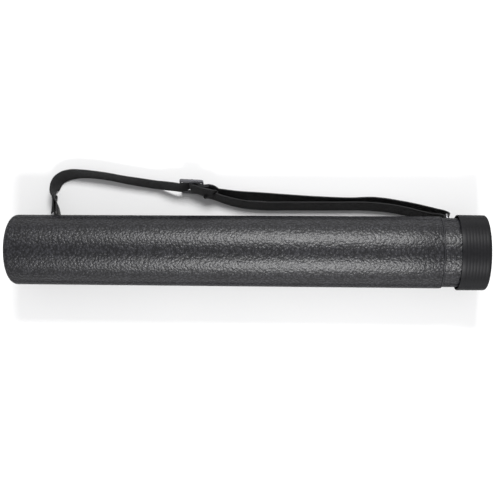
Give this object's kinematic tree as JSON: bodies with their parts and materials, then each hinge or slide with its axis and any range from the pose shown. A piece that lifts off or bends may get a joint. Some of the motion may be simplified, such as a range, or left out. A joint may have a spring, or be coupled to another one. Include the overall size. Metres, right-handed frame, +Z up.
{
  "type": "drawing_tube",
  "caption": "Telescoping drawing tube in pebbled black plastic with a push-on end cap and a webbing shoulder strap",
  "frame": {"origin": "centre of the closed end's flat outside face, on the tube's axis", "axes": "+X along the tube's axis from the closed end to the cap, +Z up, the strap lies on the +Y side"},
  "size_m": [0.6017, 0.1542, 0.0942],
  "materials": {
    "pebbled_plastic": "pebbled satin",
    "smooth_plastic": "satin",
    "cap_plastic": "satin",
    "liner_foam": "matte",
    "clip_steel": "painted",
    "rivet_steel": "plated",
    "ring_wire": "plated",
    "nylon_webbing": "woven",
    "slider_plastic": "gloss",
    "thread": "sewn"
  },
  "bodies": {
    "outer": {"outer_tube": "pebbled_plastic", "mouth_ring": "smooth_plastic", "left_clip": "clip_steel", "left_rivet_1": "rivet_steel", "left_rivet_2": "rivet_steel", "left_ring": "ring_wire", "right_clip": "clip_steel", "right_rivet_1": "rivet_steel", "right_rivet_2": "rivet_steel", "right_ring": "ring_wire", "webbing": "nylon_webbing", "slider": "slider_plastic", "left_tack": "thread", "slider_tack": "thread"},
    "guide": {"tail_ring": "smooth_plastic"},
    "inner": {"inner_tube": "pebbled_plastic", "neck_collar": "smooth_plastic"},
    "cap": {"cap_shell": "cap_plastic", "cap_liner": "liner_foam"}
  },
  "joints": [
    {"name": "extend", "type": "slide", "parent": "outer", "child": "guide", "axis": [1, 0, 0], "range_m": [0, 0.4]},
    {"name": "twist", "type": "hinge", "parent": "guide", "child": "inner", "pos_m": [0.02, 0, 0], "axis": [1, 0, 0], "range_deg": [0, 60]},
    {"name": "cap_off", "type": "slide", "parent": "inner", "child": "cap", "axis": [1, 0, 0], "range_m": [0, 0.1]}
  ]
}
